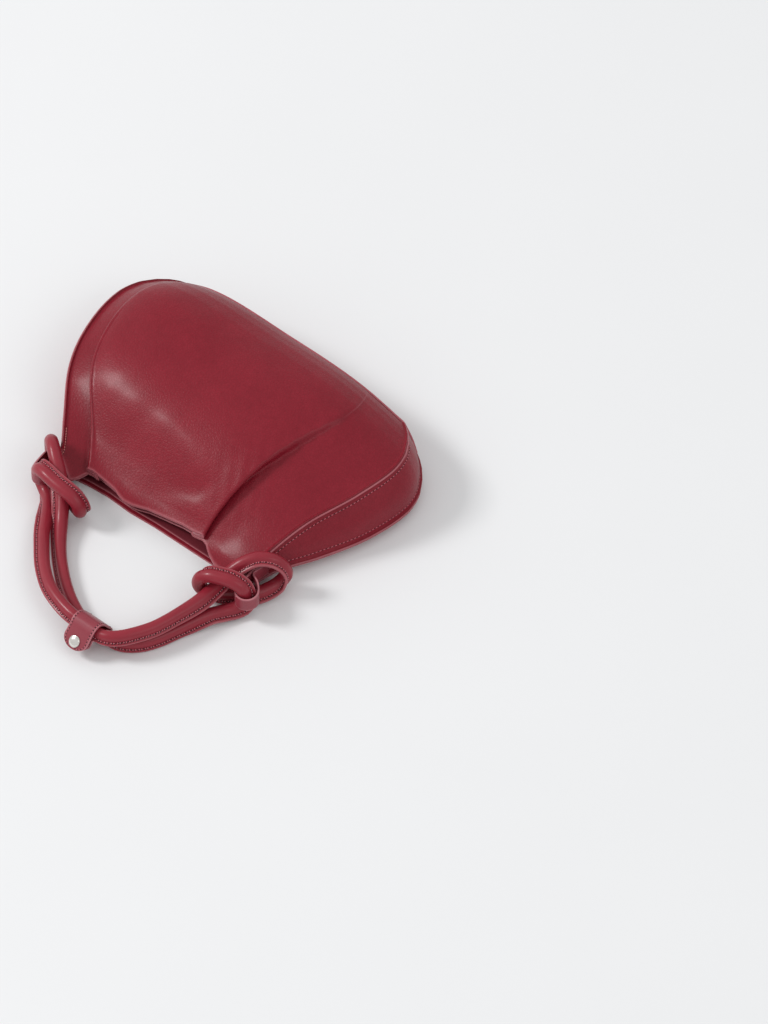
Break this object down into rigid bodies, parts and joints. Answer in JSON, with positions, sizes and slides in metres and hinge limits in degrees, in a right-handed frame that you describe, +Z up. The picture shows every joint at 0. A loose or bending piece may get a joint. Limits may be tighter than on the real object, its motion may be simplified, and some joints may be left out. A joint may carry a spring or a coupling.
{
  "type": "top handle bag",
  "caption": "Soft pleated leather top handle bag lying on its back, with a knotted doubled tube handle, side tabs and a snap keeper.",
  "frame": {"origin": "on the flat back panel's outer face, near the middle of the body, at table height", "axes": "+X along the mouth, +Y from the mouth to the base, +Z up off the table; the handle lies towards -Y"},
  "size_m": [0.3137, 0.3359, 0.0771],
  "materials": {
    "leather": "fine-grained wine red leather, satin",
    "leather_base": "fine-grained wine red leather, satin",
    "leather_tube": "fine-grained wine red leather tube with a sewn seam",
    "facing": "plain wine red leather facing",
    "lining": "plain woven lining",
    "nickel": "polished nickel"
  },
  "bodies": {
    "root": {"front_panel": "leather", "back_panel": "leather", "gusset_left": "leather", "gusset_right": "leather", "base_panel": "leather_base", "front_facing": "facing", "back_facing": "facing", "gusset_facing_left": "facing", "gusset_facing_right": "facing", "lining": "lining", "tab_left": "leather", "tab_right": "leather", "handle_tube": "leather_tube", "handle_keeper": "leather", "snap_cap": "nickel", "snap_socket": "nickel", "snap_stud": "nickel", "snap_post": "nickel"}
  },
  "joints": []
}
